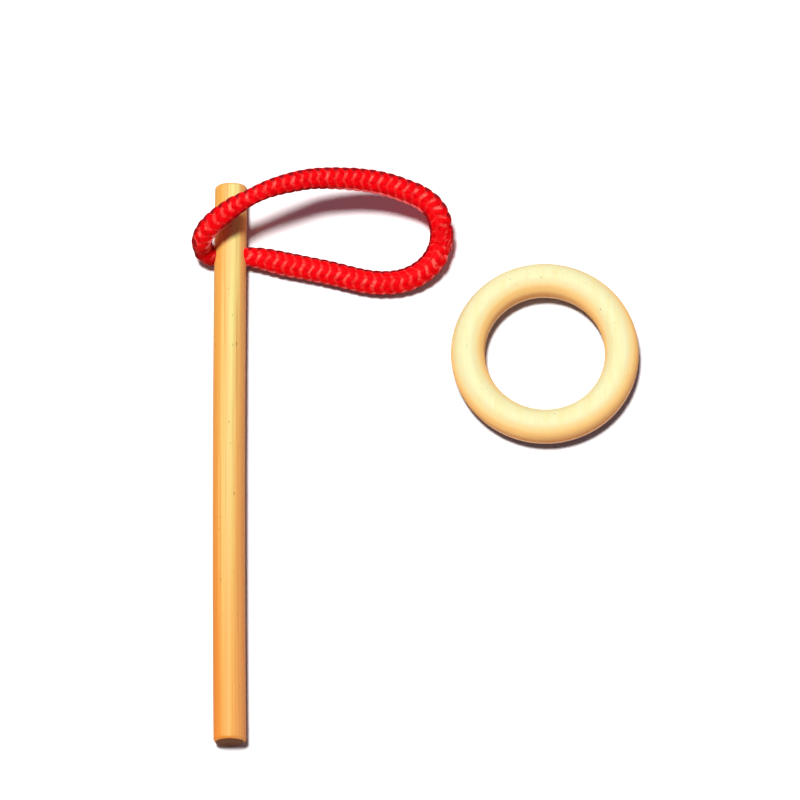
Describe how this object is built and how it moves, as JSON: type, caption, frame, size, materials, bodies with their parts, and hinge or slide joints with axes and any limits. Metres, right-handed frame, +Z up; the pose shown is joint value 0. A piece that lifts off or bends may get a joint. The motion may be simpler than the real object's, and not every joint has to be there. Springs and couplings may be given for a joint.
{
  "type": "rope puzzle",
  "caption": "Disentanglement puzzle: a bamboo stick with a closed loop of knitted cord through a cross hole near one end, and a loose turned wooden ring.",
  "frame": {"origin": "middle of the base of the box round the stick and the ring as they lie on a table", "axes": "+X from the stick to the ring, +Y along the stick towards its corded end, +Z up from the table"},
  "size_m": [0.1303, 0.1711, 0.024],
  "materials": {
    "bamboo": "sanded bamboo, satin",
    "cord": "knitted glossy yarn",
    "ring_wood": "turned pale hardwood, sanded"
  },
  "bodies": {
    "stick": {"stick": "bamboo"},
    "cord_loop": {"cord_loop": "cord"},
    "ring": {"ring": "ring_wood"}
  },
  "joints": [
    {"name": "loop_swing", "type": "hinge", "parent": "stick", "child": "cord_loop", "pos_m": [-0.0575, 0.063, 0.00475], "axis": [1, 0, 0], "range_deg": [0, 85]},
    {"name": "ring_lift", "type": "slide", "parent": "stick", "child": "ring", "axis": [0, 0, 1], "range_m": [0, 0.08]}
  ]
}
